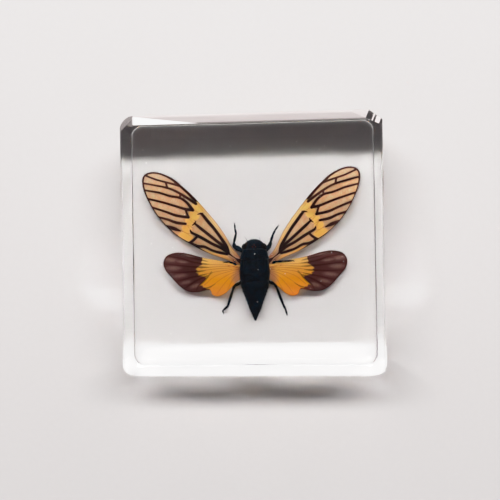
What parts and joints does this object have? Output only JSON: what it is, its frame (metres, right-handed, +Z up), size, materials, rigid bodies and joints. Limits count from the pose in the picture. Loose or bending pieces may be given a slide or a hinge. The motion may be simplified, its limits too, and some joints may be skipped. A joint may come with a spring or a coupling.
{
  "type": "cicada in resin block",
  "caption": "Cicada with spread banded wings sealed in a clear square resin block with softly rounded edges.",
  "frame": {"origin": "centre of the flat underside", "axes": "+Z up through the block's thickness, +Y the way the insect's head points, +X the insect's right side"},
  "size_m": [0.075, 0.075, 0.02],
  "materials": {
    "insect": "dried black cuticle, amber and brown wings",
    "clear_resin": "clear casting resin, polished"
  },
  "bodies": {
    "root": {"cicada": "insect", "resin_lower": "clear_resin", "resin_upper": "clear_resin"}
  },
  "joints": []
}
